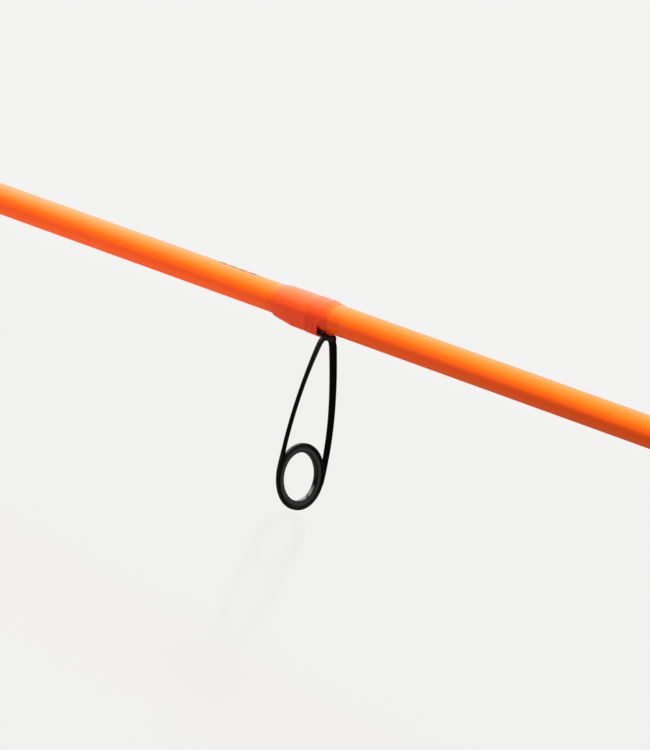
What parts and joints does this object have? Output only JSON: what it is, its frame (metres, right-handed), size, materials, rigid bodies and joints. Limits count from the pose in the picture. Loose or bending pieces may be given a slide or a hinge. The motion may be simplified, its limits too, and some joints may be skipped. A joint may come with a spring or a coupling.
{
  "type": "ice fishing rod",
  "caption": "Short tapered fishing rod with foam grips, a screw-lock reel seat, single-foot line guides bound on with thread and clear coat, and a tip ring.",
  "frame": {"origin": "centre of the butt cap's flat end face, on the axis of the blank", "axes": "+X along the blank towards the tip; -Z the side that the reel and the line guides are on; +Y completes the right-handed frame"},
  "size_m": [0.6975, 0.024, 0.044],
  "materials": {
    "blank_orange": "satin clear finish over bright orange composite",
    "thread_red": "wound thread under clear finish",
    "clear_coat": "clear epoxy",
    "guide_black": "smooth black",
    "ring_ceramic": "polished dark ceramic",
    "foam_black": "fine-cell foam, matte",
    "butt_rubber": "moulded, matte",
    "trim_metal": "anodised, turned",
    "seat_plastic": "moulded, fine texture",
    "hood_steel": "brushed",
    "nut_plastic": "moulded, fluted",
    "arbor_foam": "rigid bushing, glued"
  },
  "bodies": {
    "rod": {"blank": "blank_orange", "butt_cap": "butt_rubber", "rear_grip": "foam_black", "rear_trim_ring": "trim_metal", "seat_body": "seat_plastic", "rear_arbor": "arbor_foam", "front_arbor": "arbor_foam", "fixed_hood": "hood_steel", "front_trim_ring": "trim_metal", "fore_grip": "foam_black", "winding_check": "trim_metal", "hook_keeper": "guide_black", "hook_keeper_wraps": "thread_red", "hook_keeper_coats": "clear_coat", "guide_1_frame": "guide_black", "guide_1_ring": "ring_ceramic", "guide_1_wrap": "thread_red", "guide_1_coat": "clear_coat", "guide_2_frame": "guide_black", "guide_2_ring": "ring_ceramic", "guide_2_wrap": "thread_red", "guide_2_coat": "clear_coat", "guide_3_frame": "guide_black", "guide_3_ring": "ring_ceramic", "guide_3_wrap": "thread_red", "guide_3_coat": "clear_coat", "guide_4_frame": "guide_black", "guide_4_ring": "ring_ceramic", "guide_4_wrap": "thread_red", "guide_4_coat": "clear_coat", "guide_5_frame": "guide_black", "guide_5_ring": "ring_ceramic", "guide_5_wrap": "thread_red", "guide_5_coat": "clear_coat", "tip_tube": "guide_black", "tip_frame": "guide_black", "tip_ring": "ring_ceramic", "tip_wrap": "thread_red", "tip_coat": "clear_coat"},
    "hood": {"moving_hood": "hood_steel"},
    "nut": {"lock_nut": "nut_plastic"}
  },
  "joints": [
    {"name": "hood_slide", "type": "slide", "parent": "rod", "child": "hood", "axis": [-1, 0, 0], "range_m": [0, 0.012]},
    {"name": "nut_spin", "type": "hinge", "parent": "hood", "child": "nut", "pos_m": [0.1858, 0, 0], "axis": [-1, 0, 0], "range_deg": [0, 1800]}
  ],
  "couplings": [
    {"joint": "nut_spin", "follows": "hood_slide", "rad_per_m": 2618}
  ]
}
